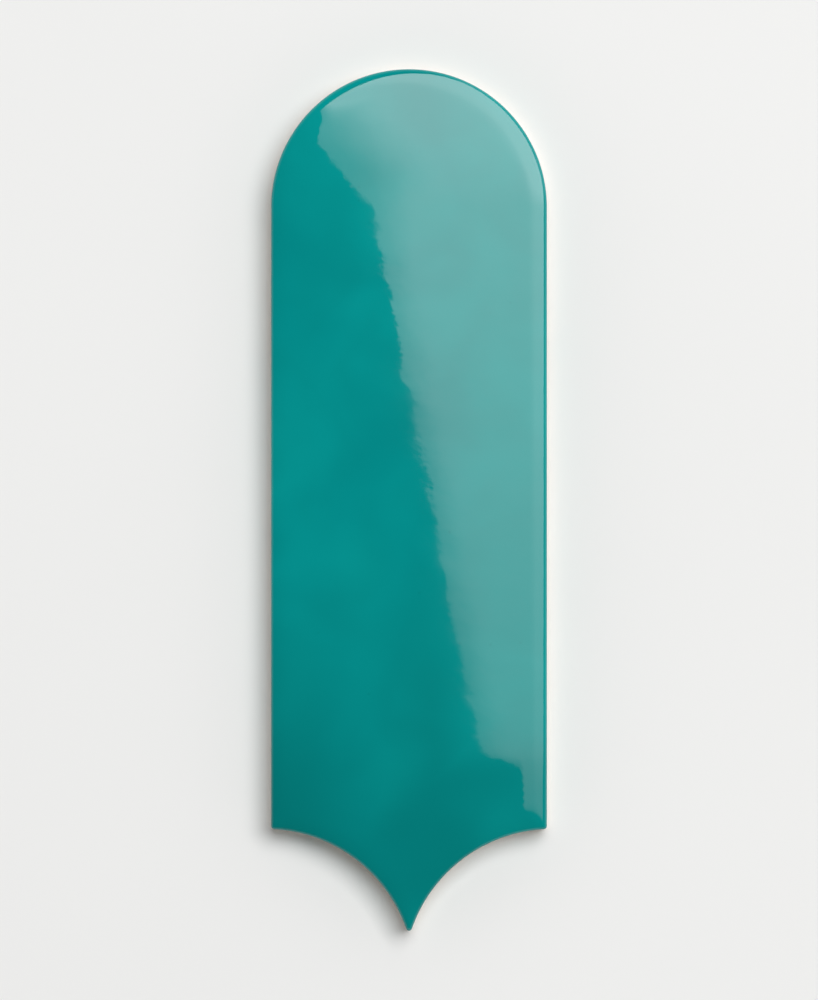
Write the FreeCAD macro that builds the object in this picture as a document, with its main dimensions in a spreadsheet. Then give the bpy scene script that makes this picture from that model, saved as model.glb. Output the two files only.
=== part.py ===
import FreeCAD, Part
import math
import os

import Sketcher
from FreeCAD import Vector

# Fish scale wall tile: one pressed, glazed and fired piece, lying on its keyed back.
# The head is a half circle as wide as the tile. The foot has two scallops, each the head's round
# widened by one joint so that the shape nests with itself, and between them a pointed tip.
# Frame: millimetres, +Y to the crown of the head, +Z out of the glazed face, and the origin
# under the middle of the tile's length and width.

# Driving sizes, in millimetres and degrees
SIZES = {
    "tile_width": 65.0,  # across the straight sides
    "tile_length": 203.0,  # from the crown of the head to the tip of the foot
    "tile_thickness": 9.0,  # from the back to the flat of the face
    "joint_width": 2.5,  # gap all round where the shape nests with itself
    "tip_radius": 0.75,  # blunt end of the tip, seen from the face
    "corner_radius": 0.6,  # lower corners of the sides, seen from the face
    "cushion_width": 4.5,  # band along every edge where the face falls away
    "cushion_radius": 12.0,  # curve of that band, tangent to the flat of the face
    "edge_radius": 0.9,  # round from the band into the upright side
    "foot_bevel": 0.7,  # bevel round the back, from the press
    "rim_width": 5.0,  # least plain border round the keys
    "key_size": 8.0,  # side of each square key sunk into the back
    "key_rib": 2.5,  # wall left between two keys
    "key_depth": 0.7,
    "key_draft": 20.0,  # slope of the walls of a key
}

doc = FreeCAD.newDocument("fish_scale_tile")
sheet = doc.addObject("Spreadsheet::Sheet", "sizes")
for line, (name, amount) in enumerate(SIZES.items(), start=1):
    sheet.set(f"A{line}", name)
    sheet.set(f"B{line}", str(amount))
    sheet.setAlias(f"B{line}", name)
doc.recompute()

# Formulas worked out from the driving sizes
HALF_WIDTH = "sizes.tile_width / 2"
HALF_LENGTH = "sizes.tile_length / 2"
HALF_PITCH = "(sizes.tile_width + sizes.joint_width) / 2"
SCALLOP_RADIUS = "(sizes.tile_width / 2 + sizes.joint_width)"
HEAD_CENTRE = f"({HALF_LENGTH} - {HALF_WIDTH})"

# The tip's small round touches both scallops, which fixes how low their centres lie
TIP_CENTRE = f"(sizes.tip_radius - {HALF_LENGTH})"
TIP_REACH = f"({SCALLOP_RADIUS} + sizes.tip_radius)"
TIP_RISE = f"sqrt({TIP_REACH}^2 - ({HALF_PITCH})^2)"
SCALLOP_CENTRE = f"({TIP_CENTRE} - {TIP_RISE})"

# Each lower corner's round touches the side and the scallop
CORNER_REACH = f"({SCALLOP_RADIUS} + sizes.corner_radius)"
CORNER_INSET = "(sizes.joint_width / 2 + sizes.corner_radius)"
CORNER_RISE = f"sqrt({CORNER_REACH}^2 - {CORNER_INSET}^2)"
CORNER_CENTRE = f"({SCALLOP_CENTRE} + {CORNER_RISE})"

KEY_PITCH = "(sizes.key_size + sizes.key_rib)"

# Points of a sketch element and the sketch's own axes, as constraints number them
START, END, MIDDLE = range(1, 4)
LEVEL_AXIS, UPRIGHT_AXIS = range(-1, -3, -1)
ORIGIN = (LEVEL_AXIS, START)

# Features that have to take material away
CUTS = ("PartDesign::Groove", "PartDesign::Pocket", "PartDesign::SubtractiveWedge")


def value(formula):
    """Number that a formula gives with the present sizes."""
    return float(sheet.evalExpression(formula))


def origin_item(body, role):
    """One of the body's own planes or axes."""
    return next(item for item in body.Origin.OriginFeatures if item.Role == role)


def sketch_on(body, name, plane, **offsets):
    """Sketch on one of the body's own planes, its origin set off by formulas."""
    sketch = body.newObject("Sketcher::SketchObject", name)
    sketch.AttachmentSupport = [(origin_item(body, plane), "")]
    sketch.MapMode = "FlatFace"
    for axis, formula in offsets.items():
        sketch.setExpression(f"AttachmentOffset.Base.{axis}", formula)
    return sketch


def add_line(sketch, start, end):
    return sketch.addGeometry(Part.LineSegment(Vector(*start, 0), Vector(*end, 0)), False)


def add_arc(sketch, centre, radius, first_angle, last_angle):
    circle = Part.Circle(Vector(*centre, 0), Vector(0, 0, 1), radius)
    return sketch.addGeometry(Part.ArcOfCircle(circle, first_angle, last_angle), False)


def tie(sketch, kind, *elements):
    sketch.addConstraint(Sketcher.Constraint(kind, *elements))


def size(sketch, kind, formula, *elements):
    """Dimension whose value follows a formula of the driving sizes."""
    index = sketch.addConstraint(Sketcher.Constraint(kind, *elements, value(formula)))
    sketch.setExpression(f"Constraints[{index}]", formula)


def chain(sketch, *elements):
    """Joins each element's end to the next one's start."""
    for element, following in zip(elements, elements[1:]):
        tie(sketch, "Coincident", element, END, following, START)


def draw_edge(sketch, wall_x, foot):
    """The tile's edge in section, with its body to the left: bevel, side, round and cushion."""
    top = value("sizes.tile_thickness")
    cushion_radius = value("sizes.cushion_radius")
    cushion_x = wall_x - value("sizes.cushion_width")
    edge_radius = value("sizes.edge_radius")
    bevel = value("sizes.foot_bevel")
    run = wall_x - edge_radius - cushion_x
    rise = math.sqrt((cushion_radius - edge_radius) ** 2 - run**2)
    turn = math.atan2(rise, run)
    side_top = top - cushion_radius + rise
    foot_run = value(foot)

    slope = add_line(sketch, (wall_x - foot_run, bevel - foot_run), (wall_x, bevel))
    side = add_line(sketch, (wall_x, bevel), (wall_x, side_top))
    edge = add_arc(sketch, (wall_x - edge_radius, side_top), edge_radius, 0, turn)
    cushion = add_arc(sketch, (cushion_x, top - cushion_radius), cushion_radius, turn, math.pi / 2)

    tie(sketch, "Coincident", slope, END, side, START)
    tie(sketch, "Vertical", side)
    tie(sketch, "Tangent", side, END, edge, START)
    tie(sketch, "Tangent", edge, END, cushion, START)
    tie(sketch, "Vertical", cushion, END, cushion, MIDDLE)
    size(sketch, "DistanceX", foot, slope, START, side, START)
    size(sketch, "DistanceY", foot, slope, START, side, START)
    size(sketch, "DistanceY", "sizes.foot_bevel", *ORIGIN, side, START)
    size(sketch, "DistanceY", "sizes.tile_thickness", *ORIGIN, cushion, END)
    size(sketch, "DistanceX", "sizes.cushion_width", cushion, END, side, START)
    size(sketch, "Radius", "sizes.edge_radius", edge)
    size(sketch, "Radius", "sizes.cushion_radius", cushion)
    return slope, side, cushion


def draw_half_section(body):
    """Half of the tile's section at the head's centre, from the middle to one edge."""
    sketch = sketch_on(body, "half_section", "XZ_Plane", z=f"-{HEAD_CENTRE}")
    half_width = value(HALF_WIDTH)
    top = value("sizes.tile_thickness")
    bevel = value("sizes.foot_bevel")
    slope, side, cushion = draw_edge(sketch, half_width, "sizes.foot_bevel")
    size(sketch, "DistanceX", HALF_WIDTH, *ORIGIN, side, START)

    face = add_line(sketch, (half_width - value("sizes.cushion_width"), top), (0, top))
    middle = add_line(sketch, (0, top), (0, 0))
    back = add_line(sketch, (0, 0), (half_width - bevel, 0))
    chain(sketch, cushion, face, middle, back, slope)
    tie(sketch, "Coincident", back, START, *ORIGIN)
    tie(sketch, "Horizontal", face)
    tie(sketch, "Vertical", middle)
    return sketch


def draw_scallop_section(body):
    """What a scallop takes away, in section from its axis."""
    sketch = sketch_on(body, "scallop_section", "XZ_Plane", x=HALF_PITCH, z=f"-{SCALLOP_CENTRE}")
    wall = -value(SCALLOP_RADIUS)
    rim = wall - value("sizes.cushion_width")
    top = value("sizes.tile_thickness")
    ceiling = top + value("sizes.edge_radius")
    bevel = value("sizes.foot_bevel")
    slope, side, cushion = draw_edge(sketch, wall, "2 * sizes.foot_bevel")
    size(sketch, "DistanceX", SCALLOP_RADIUS, side, START, *ORIGIN)

    riser = add_line(sketch, (rim, top), (rim, ceiling))
    over = add_line(sketch, (rim, ceiling), (0, ceiling))
    axis = add_line(sketch, (0, ceiling), (0, -bevel))
    under = add_line(sketch, (0, -bevel), (wall - 2 * bevel, -bevel))
    chain(sketch, cushion, riser, over, axis, under, slope)
    tie(sketch, "Vertical", riser)
    tie(sketch, "Horizontal", over)
    tie(sketch, "PointOnObject", axis, START, UPRIGHT_AXIS)
    tie(sketch, "Vertical", axis)
    tie(sketch, "Horizontal", under)
    size(sketch, "DistanceY", "sizes.edge_radius", riser, START, riser, END)
    return sketch


def draw_tip_trim(body):
    """Everything past the tip's blunt round, out beyond the end of the straight body."""
    sketch = sketch_on(body, "tip_trim", "XY_Plane", y=TIP_CENTRE)
    radius = value("sizes.tip_radius")
    touch_x = f"sizes.tip_radius * {HALF_PITCH} / {TIP_REACH}"
    x = value(touch_x)
    y = -math.sqrt(radius**2 - x**2)
    low = -3 * radius
    angle = math.atan2(y, x)

    nose = add_arc(sketch, (0, 0), radius, -math.pi - angle, angle)
    right = add_line(sketch, (x, y), (2 * x, 2 * y))
    right_drop = add_line(sketch, (2 * x, 2 * y), (2 * x, low))
    bottom = add_line(sketch, (2 * x, low), (-2 * x, low))
    left_drop = add_line(sketch, (-2 * x, low), (-2 * x, 2 * y))
    left = add_line(sketch, (-2 * x, 2 * y), (-x, y))
    chain(sketch, nose, right, right_drop, bottom, left_drop, left, nose)
    tie(sketch, "Coincident", nose, MIDDLE, *ORIGIN)
    tie(sketch, "Symmetric", nose, START, nose, END, UPRIGHT_AXIS)
    tie(sketch, "Symmetric", left, START, right, END, UPRIGHT_AXIS)
    tie(sketch, "PointOnObject", *ORIGIN, right)
    tie(sketch, "Vertical", right_drop)
    tie(sketch, "Vertical", left_drop)
    tie(sketch, "Horizontal", bottom)
    size(sketch, "Radius", "sizes.tip_radius", nose)
    size(sketch, "DistanceX", touch_x, *ORIGIN, nose, END)
    size(sketch, "DistanceX", touch_x, right, START, right, END)
    size(sketch, "DistanceY", "3 * sizes.tip_radius", bottom, START, *ORIGIN)
    return sketch


def draw_corner_trim(body):
    """Everything past the small round of the lower right corner."""
    inset = f"{HALF_WIDTH} - sizes.corner_radius"
    sketch = sketch_on(body, "corner_trim", "XY_Plane", x=inset, y=CORNER_CENTRE)
    radius = value("sizes.corner_radius")
    touch_x = f"sizes.corner_radius * {CORNER_INSET} / {CORNER_REACH}"
    x = value(touch_x)
    y = -math.sqrt(radius**2 - x**2)

    corner = add_arc(sketch, (0, 0), radius, math.atan2(y, x), 0)
    out = add_line(sketch, (radius, 0), (2 * radius, 0))
    drop = add_line(sketch, (2 * radius, 0), (2 * radius, 2 * y))
    bottom = add_line(sketch, (2 * radius, 2 * y), (2 * x, 2 * y))
    back = add_line(sketch, (2 * x, 2 * y), (x, y))
    chain(sketch, corner, out, drop, bottom, back, corner)
    tie(sketch, "Coincident", corner, MIDDLE, *ORIGIN)
    tie(sketch, "Horizontal", corner, END, corner, MIDDLE)
    tie(sketch, "Horizontal", out)
    tie(sketch, "Vertical", drop)
    tie(sketch, "Horizontal", bottom)
    tie(sketch, "PointOnObject", *ORIGIN, back)
    size(sketch, "Radius", "sizes.corner_radius", corner)
    size(sketch, "DistanceX", touch_x, *ORIGIN, corner, START)
    size(sketch, "DistanceX", touch_x, back, END, back, START)
    size(sketch, "DistanceX", "sizes.corner_radius", out, START, out, END)
    return sketch


def columns_that_fit(row, most):
    """Keys that a row takes inside the plain border: all columns, or an even number fewer."""
    half_key = value("sizes.key_size / 2")
    rim = value("sizes.rim_width")
    head_y = value(HEAD_CENTRE)
    middle_y = head_y + (row + 0.5) * value(KEY_PITCH)
    low_y = middle_y - half_key
    high_y = middle_y + half_key
    for columns in range(most, 0, -2):
        half_row = (columns - 1) * value(KEY_PITCH) / 2 + half_key
        head_reach = math.hypot(half_row, max(high_y - head_y, 0))
        foot_reach = math.hypot(value(HALF_PITCH) - half_row, low_y - value(SCALLOP_CENTRE))
        inside_head = head_reach <= value(HALF_WIDTH) - rim
        clear_of_scallop = foot_reach >= value(SCALLOP_RADIUS) + rim
        if inside_head and clear_of_scallop and low_y > value(SCALLOP_CENTRE):
            return columns
    return 0


def key_blocks():
    """Blocks of rows with the same number of keys, as (columns, lowest row, rows)."""
    inside = value(f"2 * ({HALF_WIDTH} - sizes.rim_width) + sizes.key_rib")
    most = int(inside / value(KEY_PITCH))
    lowest = math.floor(value(f"({SCALLOP_CENTRE} - {HEAD_CENTRE}) / {KEY_PITCH}"))
    highest = math.ceil(value(f"{HALF_WIDTH} / {KEY_PITCH}"))
    blocks = []
    for row in range(lowest, highest):
        columns = columns_that_fit(row, most)
        if blocks and blocks[-1][0] == columns:
            blocks[-1][2] += 1
        else:
            blocks.append([columns, row, 1])
    return [block for block in blocks if block[0]]


def mirror(body, name, feature):
    """The same feature on the other side of the tile."""
    mirrored = body.newObject("PartDesign::Mirrored", name)
    mirrored.Originals = [feature]
    mirrored.MirrorPlane = (origin_item(body, "YZ_Plane"), [""])
    body.Tip = mirrored
    doc.recompute()
    return mirrored


def cut_through(body, name, sketch):
    """Takes a sketch's outline out of the whole thickness."""
    pocket = body.newObject("PartDesign::Pocket", name)
    pocket.Profile = sketch
    pocket.Type = "ThroughAll"
    pocket.SideType = "Symmetric"
    doc.recompute()
    return pocket


def cut_key(body, name, columns, row):
    """First key of a block: a square hollow in the back with sloping walls."""
    half_mouth = "sizes.key_size / 2"
    half_floor = "(sizes.key_size / 2 - sizes.key_depth * tan(sizes.key_draft * 1 deg))"
    key = body.newObject("PartDesign::SubtractiveWedge", name)
    key.AttachmentSupport = [(origin_item(body, "XZ_Plane"), "")]
    key.MapMode = "FlatFace"
    key.setExpression("AttachmentOffset.Base.x", f"-{columns - 1} * {KEY_PITCH} / 2")
    key.setExpression("AttachmentOffset.Base.z", f"-{HEAD_CENTRE} - ({row} + 0.5) * {KEY_PITCH}")
    key.Ymin = 0
    key.setExpression("Ymax", "sizes.key_depth")
    for side in "XZ":
        key.setExpression(f"{side}min", f"-{half_mouth}")
        key.setExpression(f"{side}max", half_mouth)
        key.setExpression(f"{side}2min", f"-{half_floor}")
        key.setExpression(f"{side}2max", half_floor)
    doc.recompute()
    return key


def cut_keys(body, number, columns, row, rows):
    """A block of keys sunk into the back."""
    key = cut_key(body, f"key_{number}", columns, row)
    block = body.newObject("PartDesign::LinearPattern", f"key_block_{number}")
    block.Originals = [key]
    block.Direction = (origin_item(body, "X_Axis"), [""])
    block.setExpression("Length", f"{columns - 1} * {KEY_PITCH}")
    block.Occurrences = columns
    block.Direction2 = (origin_item(body, "Y_Axis"), [""])
    block.setExpression("Length2", f"{rows - 1} * {KEY_PITCH}")
    block.Occurrences2 = rows
    body.Tip = block
    doc.recompute()


def make_tile():
    body = doc.addObject("PartDesign::Body", "tile")
    body.Label = "tile"

    # Straight body, from the head's centre past the tip
    section = draw_half_section(body)
    straight = body.newObject("PartDesign::Pad", "straight_body")
    straight.Profile = section
    straight.setExpression("Length", f"sizes.tile_length - {HALF_WIDTH} + sizes.tip_radius")
    doc.recompute()
    mirror(body, "straight_body_left", straight)

    # Round head, the same section turned through half a circle
    head = body.newObject("PartDesign::Revolution", "head")
    head.Profile = section
    head.ReferenceAxis = (section, ["V_Axis"])
    head.Angle = 180
    doc.recompute()

    # Scalloped foot
    scallop_section = draw_scallop_section(body)
    scallop = body.newObject("PartDesign::Groove", "scallop")
    scallop.Profile = scallop_section
    scallop.ReferenceAxis = (scallop_section, ["V_Axis"])
    scallop.Angle = 360
    doc.recompute()
    mirror(body, "scallop_left", scallop)

    cut_through(body, "tip", draw_tip_trim(body))
    corner = cut_through(body, "corner", draw_corner_trim(body))
    mirror(body, "corner_left", corner)

    for number, (columns, row, rows) in enumerate(key_blocks(), start=1):
        cut_keys(body, number, columns, row, rows)
    return body


tile = make_tile()
doc.recompute()

for item in doc.Objects:
    if "Invalid" in item.State or "Error" in item.State:
        raise RuntimeError(f"{item.Name} failed: {item.State}")
    if item.TypeId in CUTS and item.Shape.Volume >= item.BaseFeature.Shape.Volume:
        raise RuntimeError(f"{item.Name} cuts nothing")
if tile.Shape.isNull() or not tile.Shape.isValid():
    raise RuntimeError("the tile has no valid shape")
if len(tile.Shape.Solids) != 1:
    raise RuntimeError("the tile is not one solid")

os.makedirs("parts", exist_ok=True)
tile.Shape.exportStep(os.path.join("parts", f"{tile.Label}.step"))
print(f"{tile.Label}: {tile.Shape.Volume / 1000:.2f} cubic centimetres")
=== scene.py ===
import math

import bpy
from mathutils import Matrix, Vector, noise
from mathutils.geometry import delaunay_2d_cdt


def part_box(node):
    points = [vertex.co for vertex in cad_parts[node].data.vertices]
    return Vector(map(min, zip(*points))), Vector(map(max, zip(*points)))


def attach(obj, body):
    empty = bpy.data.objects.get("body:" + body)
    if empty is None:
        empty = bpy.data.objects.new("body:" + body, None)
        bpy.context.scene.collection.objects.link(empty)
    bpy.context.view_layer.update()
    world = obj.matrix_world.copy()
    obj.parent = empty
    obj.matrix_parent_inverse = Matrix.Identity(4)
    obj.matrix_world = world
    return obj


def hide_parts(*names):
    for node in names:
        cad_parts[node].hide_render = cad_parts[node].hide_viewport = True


# Fish scale wall tile: one pressed piece, glazed over its face and down its sides, bare at the foot
# and on the keyed back. It lies face up on a pale floor under one large soft light.
# Metres, in the part's own frame: +Y to the crown of the head, +Z out of the face.

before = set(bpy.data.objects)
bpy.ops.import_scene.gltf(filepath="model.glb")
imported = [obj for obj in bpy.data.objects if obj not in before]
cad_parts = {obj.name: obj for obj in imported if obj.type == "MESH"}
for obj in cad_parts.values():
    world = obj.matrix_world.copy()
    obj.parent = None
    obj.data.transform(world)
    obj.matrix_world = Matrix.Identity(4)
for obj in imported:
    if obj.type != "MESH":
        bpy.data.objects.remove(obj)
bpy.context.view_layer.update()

MM = 0.001

# Outline, seen from the face
low_corner, high_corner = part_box("tile")
HALF_WIDTH = (high_corner.x - low_corner.x) / 2
HALF_LENGTH = (high_corner.y - low_corner.y) / 2
FACE_TOP = high_corner.z
JOINT_WIDTH = 2.5 * MM
TIP_RADIUS = 0.75 * MM
CORNER_RADIUS = 0.8 * MM  # a little rounder than the body's, because glaze thickens there
HALF_PITCH = HALF_WIDTH + JOINT_WIDTH / 2
SCALLOP_RADIUS = HALF_WIDTH + JOINT_WIDTH
HEAD_Y = HALF_LENGTH - HALF_WIDTH
TIP_Y = TIP_RADIUS - HALF_LENGTH
SCALLOP_Y = TIP_Y - math.sqrt((SCALLOP_RADIUS + TIP_RADIUS) ** 2 - HALF_PITCH**2)
CORNER_INSET = JOINT_WIDTH / 2 + CORNER_RADIUS  # across, from a scallop's centre to the corner's
CORNER_Y = SCALLOP_Y + math.sqrt((SCALLOP_RADIUS + CORNER_RADIUS) ** 2 - CORNER_INSET**2)

# Section of the side, from the foot up over the glaze line
FOOT_BEVEL = 0.55 * MM
FOOT_SECTION = ((1, 0), (0.84, 0.07), (0.12, 0.79), (0, 1.05))  # inwards and up, as shares of the bevel
GLAZE_COAT = 0.12 * MM  # how far the bare foot stands back from the glazed side
GLAZE_LINE = 2.6 * MM  # mean height where the glaze stops
GLAZE_LOWEST = 1.3 * MM  # its lowest height, at the end of a run
GLAZE_BEAD = 0.05 * MM  # how far the rolled lower lip of the glaze stands proud
LIP_HEIGHT = 0.9 * MM
LIP_SECTION = (  # inset, and height above the glaze line
    (0.3 * GLAZE_COAT, LIP_HEIGHT / 30),
    (-0.7 * GLAZE_BEAD, LIP_HEIGHT * 2 / 15),
    (-GLAZE_BEAD, LIP_HEIGHT / 3),
    (0, LIP_HEIGHT),
)
LINE_ROW = 0.15 * MM  # below the glaze line, a row of points that keeps the bare foot upright
SIDE_STEPS = 4

# Section of the edge, from the upright side to the face
EDGE_RADIUS = 0.9 * MM
EDGE_TURN = math.radians(63)  # how far the edge's round turns before the face begins
EDGE_STEPS = 8
EDGE_INSET = EDGE_RADIUS * (1 - math.cos(EDGE_TURN))
CUSHION_WIDTH = 5.2 * MM
CUSHION_FALL = 0.5 * MM
CUSHION_START = 0.61 * MM  # from the outline to the cushion's outer end
CUSHION_POWER = 2.6
EDGE_RISE = math.sqrt(EDGE_RADIUS**2 - (EDGE_RADIUS - CUSHION_START) ** 2)
EDGE_DROP = CUSHION_FALL + EDGE_RISE  # from the face to the top of the upright side
MITRE_POWER = 5  # the higher, the sharper the mitres where two edges meet
LEAST_DISTANCE = 0.01 * MM  # keeps the power finite on the outline itself

# Slight pillow and droop of a pressed and fired face
PILLOW = 0.42 * MM  # fall from the middle line to the sides, and from the head's centre to its edge
DROOP_START = -60.5 * MM  # below this the face droops a little towards the foot
DROOP_SLOPE = 0.017
DROOP_EASE = 4 * MM

# Waves of the face and of the glaze line: length, height and layer of the noise
LONG_WAVE = (45 * MM, 0.02 * MM, 3.7)
SHORT_WAVE = (6 * MM, 0.0025 * MM, 8.2)
LINE_SWING = (34 * MM, 0.8 * MM, 1.3)
LINE_RIPPLE = (5 * MM, 0.2 * MM, 5.1)
LINE_RUNS = (9 * MM, 2.4 * MM, 9.4)
RUN_START = 0.6 * MM  # only what passes this runs down
SIDE_WAVE = (7 * MM, 0.03 * MM)
SIDE_LAYERS = 100  # of the noise, for each metre up the side

# Keys sunk into the back
RIM_WIDTH = 5.0 * MM
KEY_SIZE = 8.0 * MM
KEY_PITCH = KEY_SIZE + 2.5 * MM
KEY_DEPTH = 0.7 * MM
KEY_DRAFT = math.radians(20)
KEY_ROUND = 0.8 * MM
KEY_EASE = 0.1 * MM  # softening of a key's mouth and floor
KEY_WALL = KEY_DEPTH * math.tan(KEY_DRAFT)
KEY_SECTION = (  # half width and depth, from the mouth to the floor
    (KEY_SIZE / 2 + KEY_EASE, 0),
    (KEY_SIZE / 2 - 0.5 * KEY_EASE, 1.2 * KEY_EASE),
    (KEY_SIZE / 2 - 0.85 * KEY_WALL, KEY_DEPTH - KEY_EASE),
    (KEY_SIZE / 2 - KEY_WALL - 1.5 * KEY_EASE, KEY_DEPTH),
)

# Fineness of the mesh
OUTLINE_STEP = 0.75 * MM
LEAST_ARC_STEPS = 8
FACE_STEP = 1.1 * MM
FIRST_ROW = 0.8 * MM  # inset of the face's outermost row of points
ROW_GAP = 0.35 * MM  # the gaps between the rows grow from this
ROW_GROWTH = 1.25
WIDEST_GAP = 0.9 * FACE_STEP
ROW_CLEARANCE = 0.97  # share of a row's inset that its points keep from every edge
SPREAD_OVERLAP = 0.3  # share of the last gap by which the even spread comes closer to the rows
LEAST_GAP = 0.1 * MM  # between two points of a row
BACK_ROW = 2.2 * MM  # inset of the row of points along the border of the back
KEY_STEPS = 4  # round each corner of a key
SHARP_ANGLE = math.radians(32)

# Square that the surface is laid out flat on: face, back, and the side in three strips
LAYOUT_GAP = 3 * MM
LAYOUT_SIDE = 2 * (HALF_LENGTH + LAYOUT_GAP)
FACE_MIDDLE = Vector((HALF_WIDTH + LAYOUT_GAP, HALF_LENGTH + LAYOUT_GAP))
BACK_MIDDLE = FACE_MIDDLE + Vector((2 * HALF_WIDTH + LAYOUT_GAP, 0))
STRIPS = 3
STRIP_PITCH = 14.5 * MM

# Floor
FLOOR_REACH = 0.9
FLOOR_STEPS = 96  # round its rim
FLOOR_FADE = (0.3 * FLOOR_REACH, 0.98 * FLOOR_REACH)
FLOOR_GAP = 0.02 * MM
FLOOR_OPENING = 0.9 * MM  # from the tile's outline to the opening under it

# Soft light overhead; its left edge runs slantwise over the tile and is mirrored in the face
PANEL_HEIGHT = 4.0
PANEL_SIDE = 3.8
PANEL_TILT = math.radians(40.7)
PANEL_CORNER = Vector((1.246, -1.4))  # its lowest corner, seen from above
PANEL_RADIANCE = 4.85
PANEL_START = (-0.45, -0.2)  # along the tile's length, where the panel's dim end begins
PANEL_DIM = 0.27
PANEL_FADE = (-0.25, 0.42)  # and where it grows from there to its full strength
PANEL_EDGE = (0.045, 0.16)  # width of its soft left edge, along the body and at the head
PANEL_EDGE_START = (0.6, 0.3)  # strength where the soft edge begins, in the same order
PANEL_EDGE_GROWTH = (0.1, 0.22)  # along the tile's length, where the one passes into the other
PANEL_INWARD = (0.3, 0.9)  # from its left edge, where it grows a little stronger
PANEL_GAIN = 1.22

# Surroundings: pale at the horizon and dark overhead, by the height of the direction
SKY_FADE = (0.2, 0.8)
SKY_LEVELS = (0.85, 0.03)

# Camera
CAMERA_DISTANCE = 4.0
VIEW_HEIGHT = 1.16 * 2 * HALF_LENGTH  # the tile and a margin
SENSOR_WIDTH = 36

# Finishes, as linear colours
# DEEP_TEAL: the glaze's darker clouds, pooling, lip and specks, and the painted shade at the lower left and
# on the left towards the foot
DEEP_TEAL = (0.0, 0.175, 0.168, 1)
TEAL = (0.0, 0.252, 0.248, 1)
# LIGHT_TEAL: the glaze's lighter clouds, and painted light over the right side
LIGHT_TEAL = (0.001, 0.31, 0.297, 1)
BISQUE = (0.70, 0.585, 0.455, 1)
BISQUE_PALE = (0.79, 0.70, 0.585, 1)
BISQUE_STAIN = (0.50, 0.385, 0.275, 1)
PALE_FLOOR = (0.84, 0.84, 0.83, 1)
FLOOR_SHADE = 0.985  # of the pale floor, where it is a little darker

# Gloss and relief of the finishes
MOTTLE_RANGE = (0.3, 0.7)  # most of the mottle lies in it
WIDE_MOTTLE_RANGE = (0.2, 0.8)  # and nearly all of it in this
GLAZE_ROUGHNESS = (0.012, 0.026)
GLAZE_IOR = 1.5
PEEL_HEIGHT = 0.0017 * MM
BISQUE_ROUGHNESS = (0.75, 0.95)
GRIT_HEIGHT = 0.12 * MM
FLOOR_ROUGHNESS = 0.9
FLOOR_GLOSS = 0.1

# Where the glaze's colour changes: lighter to the right, painted light on the side the panel lights; darker
# towards the foot, first on the left as painted shade with pooling, and at the low end from side to side as
# glaze pooling; painted shade at the lower left; deeper glaze at the lip
PAINTED_LIGHT_X = (-6 * MM, 22 * MM)
POOL_AND_SHADE_Y = (0, -65 * MM)
POOL_AND_SHADE_X = (22 * MM, 4 * MM)
LOW_END_Y = (-50 * MM, -68 * MM)
PAINTED_SHADE_Y = (-35 * MM, -78 * MM)
PAINTED_SHADE_X = (-4 * MM, -30 * MM)
LIP_Z = (5.0 * MM, 1.5 * MM)

# How much of the darker colour each mark takes
CLOUD_DEPTH = 0.22
POOL_AND_SHADE_DEPTH = (0.35, 0.85)
LIP_DEPTH = 0.55
SPECK_DEPTH = 0.35
STAIN_DEPTH = 0.4
GRIT_DEPTH = 0.6


def arc(centre, radius, first, last, hollow=False):
    """Points and outward directions along an arc of the outline, without its last point."""
    steps = max(LEAST_ARC_STEPS, round(abs(last - first) * radius / OUTLINE_STEP))
    row = []
    for step in range(steps):
        angle = first + (last - first) * step / steps
        out = Vector((math.cos(angle), math.sin(angle)))
        row.append((Vector(centre) + radius * out, -out if hollow else out))
    return row


def straight(x, first, last):
    """Points and outward directions along one straight side, without its last point."""
    steps = round(abs(last - first) / OUTLINE_STEP)
    out = Vector((math.copysign(1, x), 0))
    return [(Vector((x, first + (last - first) * step / steps)), out) for step in range(steps)]


def tile_outline():
    """The outline as (point, outward direction), anticlockwise from the right end of the head."""
    half_turn = math.pi
    corner_turn = math.atan2(CORNER_Y - SCALLOP_Y, CORNER_INSET)
    tip_turn = math.atan2(TIP_Y - SCALLOP_Y, HALF_PITCH)
    corner_x = HALF_WIDTH - CORNER_RADIUS
    left_scallop = (corner_turn, tip_turn)
    right_scallop = (half_turn - tip_turn, half_turn - corner_turn)
    return [
        *arc((0, HEAD_Y), HALF_WIDTH, 0, half_turn),
        *straight(-HALF_WIDTH, HEAD_Y, CORNER_Y),
        *arc((-corner_x, CORNER_Y), CORNER_RADIUS, half_turn, half_turn + corner_turn),
        *arc((-HALF_PITCH, SCALLOP_Y), SCALLOP_RADIUS, *left_scallop, hollow=True),
        *arc((0, TIP_Y), TIP_RADIUS, half_turn + tip_turn, 2 * half_turn - tip_turn),
        *arc((HALF_PITCH, SCALLOP_Y), SCALLOP_RADIUS, *right_scallop, hollow=True),
        *arc((corner_x, CORNER_Y), CORNER_RADIUS, -corner_turn, 0),
        *straight(HALF_WIDTH, CORNER_Y, HEAD_Y),
    ]


OUTLINE = tile_outline()


def wave(place, length, height, layer):
    """Smooth unevenness of one size, from minus to plus its height."""
    return height * noise.noise(Vector((place.x / length, place.y / length, layer)))


def edge_distances(place):
    """How far a place on the face lies from the sides and head, and from the two scallops."""
    if place.y > HEAD_Y:
        outer = HALF_WIDTH - math.hypot(place.x, place.y - HEAD_Y)
    else:
        outer = HALF_WIDTH - abs(place.x)
    left = math.hypot(place.x + HALF_PITCH, place.y - SCALLOP_Y) - SCALLOP_RADIUS
    right = math.hypot(place.x - HALF_PITCH, place.y - SCALLOP_Y) - SCALLOP_RADIUS
    return outer, left, right


def soft_distance(place):
    """Distance from the nearest edge, eased where two edges meet so that mitres and tip are soft."""
    distances = [max(distance, LEAST_DISTANCE) for distance in edge_distances(place)]
    return sum(distance**-MITRE_POWER for distance in distances) ** (-1 / MITRE_POWER)


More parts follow.
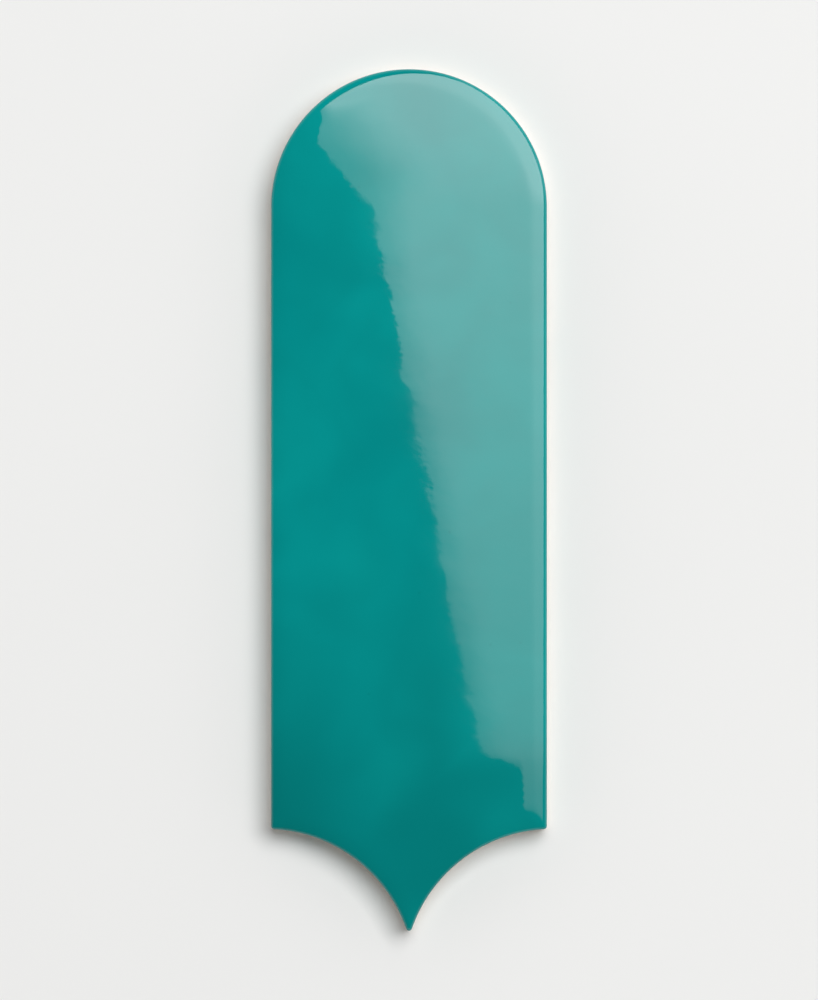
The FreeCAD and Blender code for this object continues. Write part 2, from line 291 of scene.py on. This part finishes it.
def cushion_fall(distance):
    """How far the face has fallen at a distance from the edge: cushion, then the edge's round."""
    if distance >= CUSHION_WIDTH:
        return 0
    if distance >= CUSHION_START:
        share = (CUSHION_WIDTH - distance) / (CUSHION_WIDTH - CUSHION_START)
        return CUSHION_FALL * share**CUSHION_POWER
    side = EDGE_RADIUS - distance
    return EDGE_DROP - math.sqrt(EDGE_RADIUS**2 - side**2)


def face_height(place):
    """Height of the glazed face: slight pillow, droop to the foot, cushioned edge, waves of the glaze."""
    into_head = max(0, place.y - HEAD_Y)
    pillow = PILLOW * (place.x**2 + into_head**2) / HALF_WIDTH**2
    into_foot = max(0, DROOP_START - place.y)
    droop = DROOP_SLOPE * into_foot**2 / (into_foot + DROOP_EASE)
    waves = wave(place, *LONG_WAVE) + wave(place, *SHORT_WAVE)
    return FACE_TOP - pillow - droop - cushion_fall(soft_distance(place)) + waves


def glaze_line(place):
    """Height where the glaze stops on the side, with slow swings and a few runs."""
    swing = wave(place, *LINE_SWING) + wave(place, *LINE_RIPPLE)
    run = max(0, wave(place, *LINE_RUNS) - RUN_START)
    return max(GLAZE_LOWEST, GLAZE_LINE + swing - run)


def edge_section(place, face_edge):
    """Insets and heights up the side: bare foot, then the lip of the glaze, glazed side and edge round."""
    line = glaze_line(place)
    lip_top = line + LIP_HEIGHT
    side_top = face_edge - EDGE_RADIUS * math.sin(EDGE_TURN)
    bare = [(GLAZE_COAT + inward * FOOT_BEVEL, up * FOOT_BEVEL) for inward, up in FOOT_SECTION]
    bare += [(GLAZE_COAT, line - LINE_ROW), (GLAZE_COAT, line)]
    glazed = [(inset, line + up) for inset, up in LIP_SECTION]
    for step in range(1, SIDE_STEPS):
        height = lip_top + (side_top - lip_top) * step / SIDE_STEPS
        glazed.append((wave(place, *SIDE_WAVE, SIDE_LAYERS * height), height))
    for step in range(EDGE_STEPS + 1):
        turn = EDGE_TURN * step / EDGE_STEPS
        inset = EDGE_RADIUS * (1 - math.cos(turn))
        glazed.append((inset, side_top + EDGE_RADIUS * math.sin(turn)))
    return bare, glazed


def inset_row(inset, every=1):
    """Places at a distance inside the outline, without those near another edge or close together."""
    row = []
    for point, out in OUTLINE[::every]:
        place = point - out * inset
        crowded = row and (place - row[-1]).length < LEAST_GAP
        if min(edge_distances(place)) > ROW_CLEARANCE * inset and not crowded:
            row.append(place)
    return row


def face_inside():
    """Places over the face inside the edge's round: rows along the cushion, then an even spread."""
    places = []
    inset = FIRST_ROW
    gap = ROW_GAP
    while inset < CUSHION_WIDTH:
        places += inset_row(inset)
        gap = min(gap * ROW_GROWTH, WIDEST_GAP)
        inset += gap
    spread_inset = inset - SPREAD_OVERLAP * gap
    row_step = FACE_STEP * math.sqrt(3) / 2
    rows = int(2 * HALF_LENGTH / row_step)
    columns = int(2 * HALF_WIDTH / FACE_STEP)
    for row in range(rows):
        for column in range(columns):
            x = (column - columns / 2 + 0.5 * (row % 2)) * FACE_STEP
            place = Vector((x, (row - rows / 2) * row_step))
            if min(edge_distances(place)) > spread_inset:
                places.append(place)
    return places


def key_places():
    """Middles of the keys: rows that leave the plain border free at the sides, head and scallops."""
    half_key = KEY_SIZE / 2
    most = int((2 * (HALF_WIDTH - RIM_WIDTH) + KEY_PITCH - KEY_SIZE) / KEY_PITCH)
    lowest = math.floor((SCALLOP_Y - HEAD_Y) / KEY_PITCH)
    places = []
    for row in range(lowest, math.ceil(HALF_WIDTH / KEY_PITCH)):
        y = HEAD_Y + (row + 0.5) * KEY_PITCH
        for columns in range(most, 0, -2):
            half_row = (columns - 1) * KEY_PITCH / 2 + half_key
            in_head = math.hypot(half_row, max(y + half_key - HEAD_Y, 0)) <= HALF_WIDTH - RIM_WIDTH
            reach = math.hypot(HALF_PITCH - half_row, y - half_key - SCALLOP_Y)
            if in_head and y - half_key > SCALLOP_Y and reach >= SCALLOP_RADIUS + RIM_WIDTH:
                places += [Vector(((c - (columns - 1) / 2) * KEY_PITCH, y)) for c in range(columns)]
                break
    return places


def rounded_square(middle, half, radius):
    """Loop of points round a square with rounded corners, anticlockwise."""
    quarter = math.pi / 2
    loop = []
    for corner in range(4):
        diagonal = quarter * (corner + 0.5)
        centre = Vector((math.cos(diagonal), math.sin(diagonal))) * math.sqrt(2) * (half - radius)
        for step in range(KEY_STEPS + 1):
            angle = quarter * (corner + step / KEY_STEPS)
            loop.append(middle + centre + radius * Vector((math.cos(angle), math.sin(angle))))
    return loop


def fill_between(places, loops):
    """Triangles inside the loops, each as three numbers of places in the list."""
    inside_only = 1
    tolerance = 1e-9
    borders = []
    for loop in loops:
        borders += zip(loop, loop[1:] + loop[:1])
    filled = delaunay_2d_cdt(places, borders, [], inside_only, tolerance)
    triangles, came_from = filled[2:4]
    return [[came_from[corner][0] for corner in triangle] for triangle in triangles]


def lengths_along(row):
    """Distance from the start of a row of places to each of them."""
    lengths = [0]
    for place, following in zip(row, row[1:]):
        lengths.append(lengths[-1] + (Vector(following) - Vector(place)).length)
    return lengths


GLAZED, BARE = range(2)  # the two finishes, numbered as the mesh's materials are


class TileMesh:
    """Points and faces of the tile as they are made, each face with its finish and place in the layout."""

    def __init__(self):
        self.points = []
        self.faces = []
        self.finishes = []
        self.layout = []

    def add_points(self, points):
        """Adds points and gives their numbers."""
        first = len(self.points)
        self.points += points
        return list(range(first, len(self.points)))

    def add_face(self, corners, finish, spots):
        """Adds a face with its finish and the spots of its corners in the layout."""
        self.faces.append(corners)
        self.finishes.append(finish)
        self.layout += spots

    def add_flat_face(self, corners, finish):
        """A face that is laid out as it is seen from the front, or from behind if it is bare."""
        middle, turn = (FACE_MIDDLE, 1) if finish == GLAZED else (BACK_MIDDLE, -1)
        places = [self.points[at] for at in corners]
        self.add_face(corners, finish, [(middle.x + turn * x, middle.y + y) for x, y, _ in places])

    def add_band(self, inner, outer, finish):
        """Flat faces of the back between two loops of the same number of points."""
        for at in range(len(inner)):
            after = (at + 1) % len(inner)
            self.add_flat_face([inner[at], inner[after], outer[after], outer[at]], finish)


def raise_sides(tile):
    """The side all round, from the foot up to the start of the face; gives its lowest and top loop."""
    columns = []
    climbs = []
    for point, out in OUTLINE:
        bare, glazed = edge_section(point, face_height(point - out * EDGE_INSET))
        section = bare + glazed
        columns.append([(*(point - out * inset), z) for inset, z in section])
        climbs.append(lengths_along(section))
    loops = [tile.add_points(list(ring)) for ring in zip(*columns)]
    finishes = [BARE] * (len(bare) - 1) + [GLAZED] * len(glazed)

    around = lengths_along([point for point, _ in OUTLINE + OUTLINE[:1]])
    count = len(OUTLINE)
    for column in range(count):
        after = (column + 1) % count
        strip = column * STRIPS // count
        strip_foot = BACK_MIDDLE.x + HALF_WIDTH + LAYOUT_GAP + (strip + 1) * STRIP_PITCH
        strip_start = around[math.ceil(strip * count / STRIPS)] - LAYOUT_GAP
        # Corners of a face, each as its rise, its column and its step along the strip
        low_edge = ((0, column, 0), (0, after, 1))
        high_edge = ((1, after, 1), (1, column, 0))
        for ring, finish in enumerate(finishes):
            corners = []
            spots = []
            for rise, at, step in low_edge + high_edge:
                corners.append(loops[ring + rise][at])
                spots.append((strip_foot - climbs[at][ring + rise], around[column + step] - strip_start))
            tile.add_face(corners, finish, spots)
    return loops[0], loops[-1]


def lay_face(tile, edge_loop):
    """The glazed face inside the edge's round."""
    inside = face_inside()
    border = [Vector(tile.points[at][:2]) for at in edge_loop]
    corners = edge_loop + tile.add_points([(*place, face_height(place)) for place in inside])
    for triangle in fill_between(border + inside, [list(range(len(border)))]):
        tile.add_flat_face([corners[at] for at in triangle], GLAZED)


def sink_key(tile, middle):
    """One key with its softened mouth, sloping walls and floor; gives the loop at its mouth."""
    loops = []
    for half, depth in KEY_SECTION:
        square = rounded_square(middle, half, KEY_ROUND)
        loops.append(tile.add_points([(*place, depth) for place in square]))
    for mouth, deeper in zip(loops, loops[1:]):
        tile.add_band(deeper, mouth, BARE)
    tile.add_flat_face(loops[-1][::-1], BARE)
    return loops[0]


def lay_back(tile, foot_loop):
    """The flat of the back, with a row of points along its border and the keys sunk into it."""
    border_row = [(*place, 0) for place in inset_row(BACK_ROW, every=3)]
    corners = foot_loop + tile.add_points(border_row)
    loops = [list(range(len(foot_loop)))]
    key_of = {}
    for number, middle in enumerate(key_places()):
        first = len(corners)
        corners += sink_key(tile, middle)
        loops.append(list(range(first, len(corners))))
        for at in loops[-1]:
            key_of[at] = number
    places = [Vector(tile.points[at][:2]) for at in corners]
    for triangle in fill_between(places, loops):
        keys = {key_of.get(at) for at in triangle}
        over_a_key = len(keys) == 1 and None not in keys
        if not over_a_key:
            tile.add_flat_face([corners[at] for at in triangle][::-1], BARE)


def feed(tree, socket, value):
    """Links a socket to another one, or sets its value."""
    if isinstance(value, bpy.types.NodeSocket):
        tree.links.new(value, socket)
    else:
        socket.default_value = value


def add_node(tree, kind, inputs=None, **settings):
    """A node with its settings and what goes into it."""
    node = tree.nodes.new(kind)
    for name, value in settings.items():
        setattr(node, name, value)
    for key, value in (inputs or {}).items():
        feed(tree, node.inputs[key], value)
    return node


def mottle(tree, place, scale, detail=2.0, distortion=0.0):
    """Noise from 0 to 1."""
    inputs = {"Vector": place, "Scale": scale, "Detail": detail, "Distortion": distortion}
    return add_node(tree, "ShaderNodeTexNoise", inputs).outputs["Fac"]


def spread(tree, value, low, high, to_low=0.0, to_high=1.0):
    """Eases a value from one range to another."""
    inputs = {"Value": value, "From Min": low, "From Max": high, "To Min": to_low, "To Max": to_high}
    node = add_node(tree, "ShaderNodeMapRange", inputs, interpolation_type="SMOOTHSTEP")
    return node.outputs["Result"]


def reckon(tree, operation, first, second):
    """Two values put together by one operation."""
    return add_node(tree, "ShaderNodeMath", {0: first, 1: second}, operation=operation).outputs[0]


def blend_colours(tree, share, first, second):
    """The first colour, with a share of the second. The node numbers its colour sockets 6, 7 and 2."""
    node = add_node(tree, "ShaderNodeMix", data_type="RGBA")
    feed(tree, node.inputs[0], share)
    feed(tree, node.inputs[6], first)
    feed(tree, node.inputs[7], second)
    return node.outputs[2]


def new_group(name, inputs, output):
    """An empty node group with a Vector and the named values going in, and one value coming out."""
    group = bpy.data.node_groups.new(name, "ShaderNodeTree")
    group.interface.new_socket("Vector", in_out="INPUT", socket_type="NodeSocketVector")
    for socket in inputs:
        group.interface.new_socket(socket, in_out="INPUT", socket_type="NodeSocketFloat")
    group.interface.new_socket(output, in_out="OUTPUT", socket_type="NodeSocketFloat")
    entry = group.nodes.new("NodeGroupInput")
    leave = group.nodes.new("NodeGroupOutput")
    return group, entry.outputs, leave.inputs


def clouds_group():
    """Soft clouds, from 0 below Low to 1 above High."""
    group, given, result = new_group("soft_clouds", ["Scale", "Low", "High"], "Mask")
    clouds = mottle(group, given["Vector"], given["Scale"], detail=2.5, distortion=0.5)
    feed(group, result["Mask"], spread(group, clouds, given["Low"], given["High"]))
    return group


def flecks_group():
    """Small round flecks, each in a cell of its own; Share is the part of the cells that has one."""
    group, given, result = new_group("flecks", ["Scale", "Share", "Size"], "Mask")
    inputs = {"Vector": given["Vector"], "Scale": given["Scale"]}
    cells = add_node(group, "ShaderNodeTexVoronoi", inputs)
    picked = add_node(group, "ShaderNodeSeparateColor", {"Color": cells.outputs["Color"]})
    chosen = reckon(group, "LESS_THAN", picked.outputs["Red"], given["Share"])
    size = reckon(group, "MULTIPLY", picked.outputs["Green"], given["Size"])
    dot = spread(group, cells.outputs["Distance"], 0.0, size, 1.0, 0.0)
    feed(group, result["Mask"], reckon(group, "MULTIPLY", dot, chosen))
    return group


def grain_group():
    """Unevenness in two sizes, for the height of a bump; Fine is the share of the finer one."""
    group, given, result = new_group("fired_grain", ["Scale", "Fine"], "Height")
    finer = 3.3
    coarse = mottle(group, given["Vector"], given["Scale"], detail=1.0)
    fine_scale = reckon(group, "MULTIPLY", given["Scale"], finer)
    fine = mottle(group, given["Vector"], fine_scale, detail=2.0)
    fine_share = reckon(group, "MULTIPLY", fine, given["Fine"])
    feed(group, result["Height"], reckon(group, "ADD", coarse, fine_share))
    return group


CLOUDS = clouds_group()
FLECKS = flecks_group()
GRAIN = grain_group()


def place_group(tree, group, place, **values):
    """The group's result in a material, with its own values."""
    node = add_node(tree, "ShaderNodeGroup", node_tree=group)
    feed(tree, node.inputs["Vector"], place)
    for name, value in values.items():
        node.inputs[name].default_value = value
    return node.outputs[0]


def new_material(name):
    """A material with only its shader, and the place on the object."""
    material = bpy.data.materials.new(name)
    material.use_nodes = True
    tree = material.node_tree
    shader = tree.nodes["Principled BSDF"]
    place = tree.nodes.new("ShaderNodeTexCoord").outputs["Object"]
    return material, tree, shader, place


def add_relief(tree, shader, height, distance):
    """Gives a finish its fine relief, as deep as the distance."""
    bump = add_node(tree, "ShaderNodeBump", {"Height": height, "Distance": distance})
    feed(tree, shader.inputs["Normal"], bump.outputs["Normal"])


def teal_glaze():
    """Glossy teal glaze: soft clouds, lighter to the right as painted light, darker towards the foot from
    pooling with painted shade on the left, with a slight peel.
    """
    material, tree, shader, place = new_material("teal_glaze")
    x, y, z = add_node(tree, "ShaderNodeSeparateXYZ", {"Vector": place}).outputs
    clouds = place_group(tree, CLOUDS, place, Scale=17.0, Low=0.36, High=0.66)
    # Lighter teal in the clouds and, as painted light, over the right side that the panel lights
    clouds_and_painted_light = reckon(tree, "MAXIMUM", clouds, spread(tree, x, *PAINTED_LIGHT_X))
    small_clouds = place_group(tree, CLOUDS, place, Scale=48.0, Low=0.25, High=0.75)
    dimmed = reckon(tree, "MULTIPLY", small_clouds, CLOUD_DEPTH)
    # Darker towards the foot: painted shade that starts on the left, with glaze pooling, and glaze pooling
    # at the low end from side to side
    foot = reckon(tree, "MULTIPLY", spread(tree, y, *POOL_AND_SHADE_Y), spread(tree, x, *POOL_AND_SHADE_X))
    pool_and_shade = reckon(tree, "MAXIMUM", foot, spread(tree, y, *LOW_END_Y))
    uneven = spread(tree, mottle(tree, place, scale=22.0), *MOTTLE_RANGE, *POOL_AND_SHADE_DEPTH)
    pooled_and_shaded = reckon(tree, "MULTIPLY", pool_and_shade, uneven)
    # Painted shade: darker teal at the lower left, away from the panel
    painted_shade_lower_left = reckon(tree, "MULTIPLY", spread(tree, y, *PAINTED_SHADE_Y), spread(tree, x, *PAINTED_SHADE_X))
    lip = spread(tree, z, *LIP_Z, 0.0, LIP_DEPTH)
    specks = place_group(tree, FLECKS, place, Scale=420.0, Share=0.06, Size=0.3)
    faint_specks = reckon(tree, "MULTIPLY", specks, SPECK_DEPTH)
    base = blend_colours(tree, clouds_and_painted_light, TEAL, LIGHT_TEAL)
    for depth in (dimmed, pooled_and_shaded, painted_shade_lower_left, lip, faint_specks):
        base = blend_colours(tree, depth, base, DEEP_TEAL)
    feed(tree, shader.inputs["Base Color"], base)
    gloss = spread(tree, mottle(tree, place, scale=60.0), *MOTTLE_RANGE, *GLAZE_ROUGHNESS)
    feed(tree, shader.inputs["Roughness"], gloss)
    shader.inputs["IOR"].default_value = GLAZE_IOR
    peel = place_group(tree, GRAIN, place, Scale=330.0, Fine=0.3)
    add_relief(tree, shader, peel, PEEL_HEIGHT)
    return material


def bare_bisque():
    """Unglazed fired body: pale buff, grainy, with darker specks and faint stains."""
    material, tree, shader, place = new_material("bare_bisque")
    clouds = place_group(tree, CLOUDS, place, Scale=40.0, Low=0.3, High=0.7)
    stains = place_group(tree, CLOUDS, place, Scale=24.0, Low=0.56, High=0.8)
    specks = place_group(tree, FLECKS, place, Scale=900.0, Share=0.16, Size=0.38)
    base = blend_colours(tree, clouds, BISQUE, BISQUE_PALE)
    for mark, depth in ((stains, STAIN_DEPTH), (specks, GRIT_DEPTH)):
        base = blend_colours(tree, reckon(tree, "MULTIPLY", mark, depth), base, BISQUE_STAIN)
    feed(tree, shader.inputs["Base Color"], base)
    dullness = spread(tree, mottle(tree, place, scale=500.0), *WIDE_MOTTLE_RANGE, *BISQUE_ROUGHNESS)
    feed(tree, shader.inputs["Roughness"], dullness)
    grit = place_group(tree, GRAIN, place, Scale=900.0, Fine=0.8)
    add_relief(tree, shader, grit, GRIT_HEIGHT)
    return material


def floor_finish():
    """Plain pale floor, fading out into the pale surroundings, and clear from below."""
    material, tree, shader, place = new_material("pale_floor")
    clouds = place_group(tree, CLOUDS, place, Scale=6.0, Low=0.2, High=0.8)
    shade = (*[FLOOR_SHADE * channel for channel in PALE_FLOOR[:3]], 1)
    feed(tree, shader.inputs["Base Color"], blend_colours(tree, clouds, shade, PALE_FLOOR))
    shader.inputs["Roughness"].default_value = FLOOR_ROUGHNESS
    shader.inputs["Specular IOR Level"].default_value = FLOOR_GLOSS
    away = add_node(tree, "ShaderNodeVectorMath", {0: place}, operation="LENGTH").outputs["Value"]
    underside = tree.nodes.new("ShaderNodeNewGeometry").outputs["Backfacing"]
    unseen = reckon(tree, "MAXIMUM", spread(tree, away, *FLOOR_FADE), underside)
    clear = tree.nodes.new("ShaderNodeBsdfTransparent").outputs["BSDF"]
    one_sided = add_node(tree, "ShaderNodeMixShader", {0: unseen, 1: shader.outputs["BSDF"], 2: clear})
    feed(tree, tree.nodes["Material Output"].inputs["Surface"], one_sided.outputs["Shader"])
    return material


def make_tile():
    """The tile as one closed mesh that stands for the solid."""
    made = TileMesh()
    foot_loop, edge_loop = raise_sides(made)
    lay_face(made, edge_loop)
    lay_back(made, foot_loop)
    mesh = bpy.data.meshes.new("fish_scale_tile")
    mesh.from_pydata(made.points, [], made.faces)
    mesh.materials.append(teal_glaze())
    mesh.materials.append(bare_bisque())
    mesh.polygons.foreach_set("material_index", made.finishes)
    layout = mesh.uv_layers.new(name="OFBake")  # the flat layout of face, back and side
    layout.uv.foreach_set("vector", [length / LAYOUT_SIDE for spot in made.layout for length in spot])
    mesh.shade_smooth()
    mesh.set_sharp_from_angle(angle=SHARP_ANGLE)
    mesh.update()
    tile = bpy.data.objects.new("fish_scale_tile", mesh)
    bpy.context.collection.objects.link(tile)
    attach(tile, "root")
    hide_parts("tile")


def make_floor():
    """Large round floor, open under the tile so that its back gets light in views from below."""
    places = inset_row(FLOOR_OPENING)
    opening = list(range(len(places)))
    for at in range(FLOOR_STEPS):
        angle = 2 * math.pi * at / FLOOR_STEPS
        places.append(FLOOR_REACH * Vector((math.cos(angle), math.sin(angle))))
    border = list(range(len(opening), len(places)))
    faces = []
    for triangle in fill_between(places, [opening, border]):
        middle = sum((places[at] for at in triangle), Vector((0, 0))) / 3
        reaches_out = max(triangle) >= len(opening)
        if reaches_out or min(edge_distances(middle)) < FLOOR_OPENING:
            faces.append(triangle)
    mesh = bpy.data.meshes.new("pale_floor")
    mesh.from_pydata([(*place, low_corner.z - FLOOR_GAP) for place in places], [], faces)
    mesh.materials.append(floor_finish())
    floor = bpy.data.objects.new("pale_floor", mesh)
    bpy.context.collection.objects.link(floor)


def along_panel(places):
    """Places along the tile's length as shares of the panel's side, from its lowest corner."""
    return [(y - PANEL_CORNER.y) / PANEL_SIDE for y in places]


def across_panel(lengths):
    """Lengths from the panel's left edge as shares of its side."""
    return [length / PANEL_SIDE for length in lengths]


def hang_panel():
    """A large panel overhead to the upper right: soft at its left edge, dimmer towards the foot."""
    along = Vector((math.cos(PANEL_TILT), math.sin(PANEL_TILT)))
    up = Vector((-along.y, along.x))
    panel = bpy.data.lights.new("soft_panel", "AREA")
    panel.size = PANEL_SIDE
    panel.energy = PANEL_RADIANCE * math.pi * PANEL_SIDE**2
    panel.use_nodes = True
    tree = panel.node_tree
    spot = tree.nodes.new("ShaderNodeNewGeometry").outputs["Parametric"]
    lengthwise = {0: spot, 1: (along.y, up.y, 0)}
    level = add_node(tree, "ShaderNodeVectorMath", lengthwise, operation="DOT_PRODUCT").outputs["Value"]
    dim_end = spread(tree, level, *along_panel(PANEL_START), 0, PANEL_DIM)
    bright_end = spread(tree, level, *along_panel(PANEL_FADE), 0, 1 - PANEL_DIM)
    across = add_node(tree, "ShaderNodeSeparateXYZ", {"Vector": spot}).outputs["X"]
    edge_width = spread(tree, level, *along_panel(PANEL_EDGE_GROWTH), *across_panel(PANEL_EDGE))
    edge_start = spread(tree, level, *along_panel(PANEL_EDGE_GROWTH), *PANEL_EDGE_START)
    soft_edge = spread(tree, across, 0, edge_width, edge_start, 1)
    gain = spread(tree, across, *across_panel(PANEL_INWARD), 1, PANEL_GAIN)
    strength = reckon(tree, "ADD", dim_end, bright_end)
    for change in (soft_edge, gain):
        strength = reckon(tree, "MULTIPLY", strength, change)
    feed(tree, tree.nodes["Emission"].inputs["Strength"], strength)
    lamp = bpy.data.objects.new("soft_panel", panel)
    lamp.location = (*(PANEL_CORNER + (along + up) * PANEL_SIDE / 2), PANEL_HEIGHT)
    lamp.rotation_euler = (0, 0, PANEL_TILT)
    lamp.visible_camera = False
    bpy.context.collection.objects.link(lamp)


def set_surroundings():
    """Pale at the horizon and dark overhead, so that the face, seen from above, mirrors the panel alone."""
    world = bpy.data.worlds.new("pale_horizon")
    world.use_nodes = True
    tree = world.node_tree
    direction = tree.nodes.new("ShaderNodeTexCoord").outputs["Generated"]
    height = add_node(tree, "ShaderNodeSeparateXYZ", {"Vector": direction}).outputs["Z"]
    background = tree.nodes["Background"]
    background.inputs["Color"].default_value = (1, 1, 1, 1)
    feed(tree, background.inputs["Strength"], spread(tree, height, *SKY_FADE, *SKY_LEVELS))
    bpy.context.scene.world = world


def set_camera():
    """Square above the tile, from far enough away that it is seen flat."""
    data = bpy.data.cameras.new("camera")
    data.sensor_width = SENSOR_WIDTH
    data.lens = SENSOR_WIDTH * CAMERA_DISTANCE / VIEW_HEIGHT
    camera = bpy.data.objects.new("camera", data)
    camera.location = (0, 0, FACE_TOP + CAMERA_DISTANCE)
    bpy.context.collection.objects.link(camera)
    bpy.context.scene.camera = camera


make_tile()
make_floor()
hang_panel()
set_surroundings()
set_camera()
bpy.context.scene.view_settings.view_transform = "Standard"
